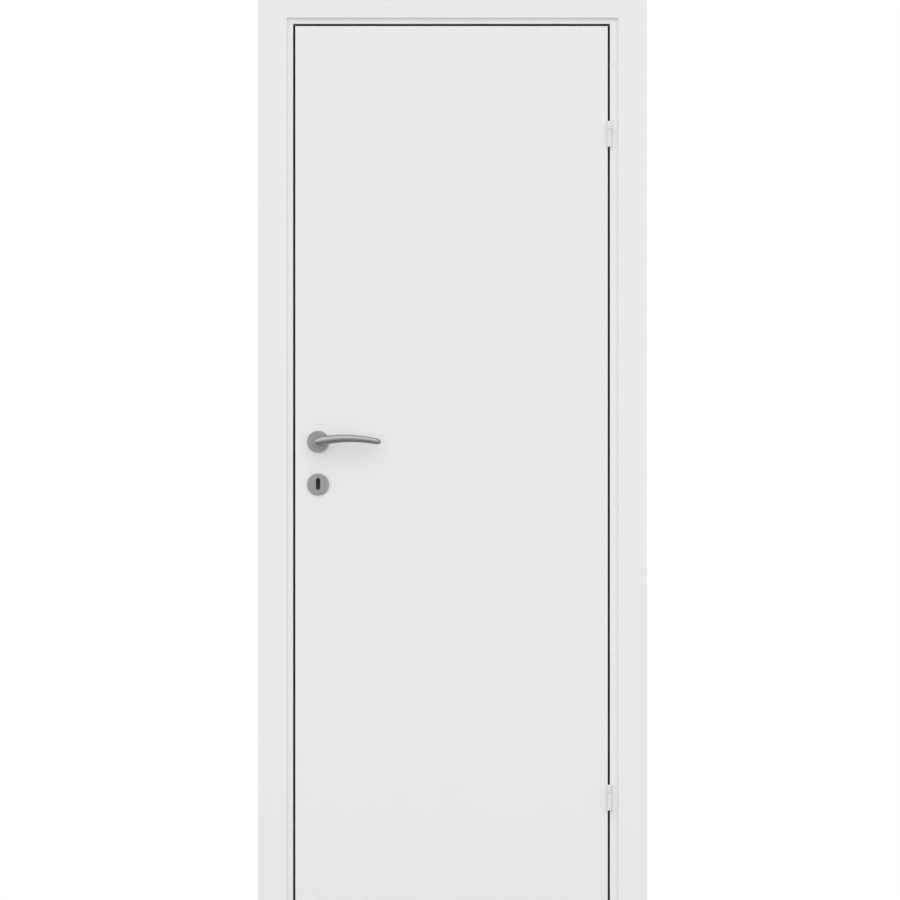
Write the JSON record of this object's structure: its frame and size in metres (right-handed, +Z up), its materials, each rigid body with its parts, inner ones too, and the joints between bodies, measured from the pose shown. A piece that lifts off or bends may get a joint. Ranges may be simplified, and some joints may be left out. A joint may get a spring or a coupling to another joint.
{
  "type": "cellar door",
  "caption": "Flush white cellar door in a rebated frame with casings on both sides, lift-off hinges, arched lever handles and round key plates.",
  "frame": {"origin": "middle of the frame's underside, on the floor under the threshold", "axes": "+X to the hinge side, +Y from the front face to the back, +Z up"},
  "size_m": [0.9017, 0.178, 2.143],
  "materials": {
    "white_lacquer": "satin white lacquer on board and wood",
    "core_board": "raw particle board, hidden inside the leaf",
    "seal_rubber": "matt black rubber",
    "white_hinge_steel": "white powder coat",
    "zinc_steel": "bright zinc plate",
    "dark_steel": "dark lacquered steel",
    "satin_steel": "satin stainless steel"
  },
  "bodies": {
    "frame": {"hinge_jamb": "white_lacquer", "lock_jamb": "white_lacquer", "head_jamb": "white_lacquer", "threshold": "white_lacquer", "hinge_side_seal": "seal_rubber", "lock_side_seal": "seal_rubber", "head_seal": "seal_rubber", "front_lock_casing": "white_lacquer", "front_hinge_casing": "white_lacquer", "front_head_casing": "white_lacquer", "back_lock_casing": "white_lacquer", "back_hinge_casing": "white_lacquer", "back_head_casing": "white_lacquer", "strike_plate": "zinc_steel", "upper_hinge_frame_half": "white_hinge_steel", "lower_hinge_frame_half": "white_hinge_steel", "upper_hinge_pin": "zinc_steel", "lower_hinge_pin": "zinc_steel"},
    "leaf": {"front_face_panel": "white_lacquer", "back_face_panel": "white_lacquer", "lock_stile": "white_lacquer", "hinge_stile": "white_lacquer", "bottom_rail": "white_lacquer", "top_rail": "white_lacquer", "leaf_core": "core_board", "lock_case": "dark_steel", "lock_forend": "zinc_steel", "latch_bolt": "zinc_steel", "dead_bolt": "zinc_steel", "front_handle_rose": "satin_steel", "back_handle_rose": "satin_steel", "front_key_plate": "satin_steel", "back_key_plate": "satin_steel", "upper_hinge_leaf_half": "white_hinge_steel", "lower_hinge_leaf_half": "white_hinge_steel"},
    "handle": {"front_lever": "satin_steel", "back_lever": "satin_steel", "spindle": "zinc_steel"}
  },
  "joints": [
    {"name": "leaf_swing", "type": "hinge", "parent": "frame", "child": "leaf", "pos_m": [0.366, -0.065, 1.0375], "axis": [0, 0, 1], "range_deg": [0, 170]},
    {"name": "handle_turn", "type": "hinge", "parent": "leaf", "child": "handle", "pos_m": [-0.3095, -0.0375, 1.0935], "axis": [0, 1, 0], "range_deg": [0, 45], "stiffness_Nm_per_rad": 1.2, "springref_deg": -34.38}
  ]
}
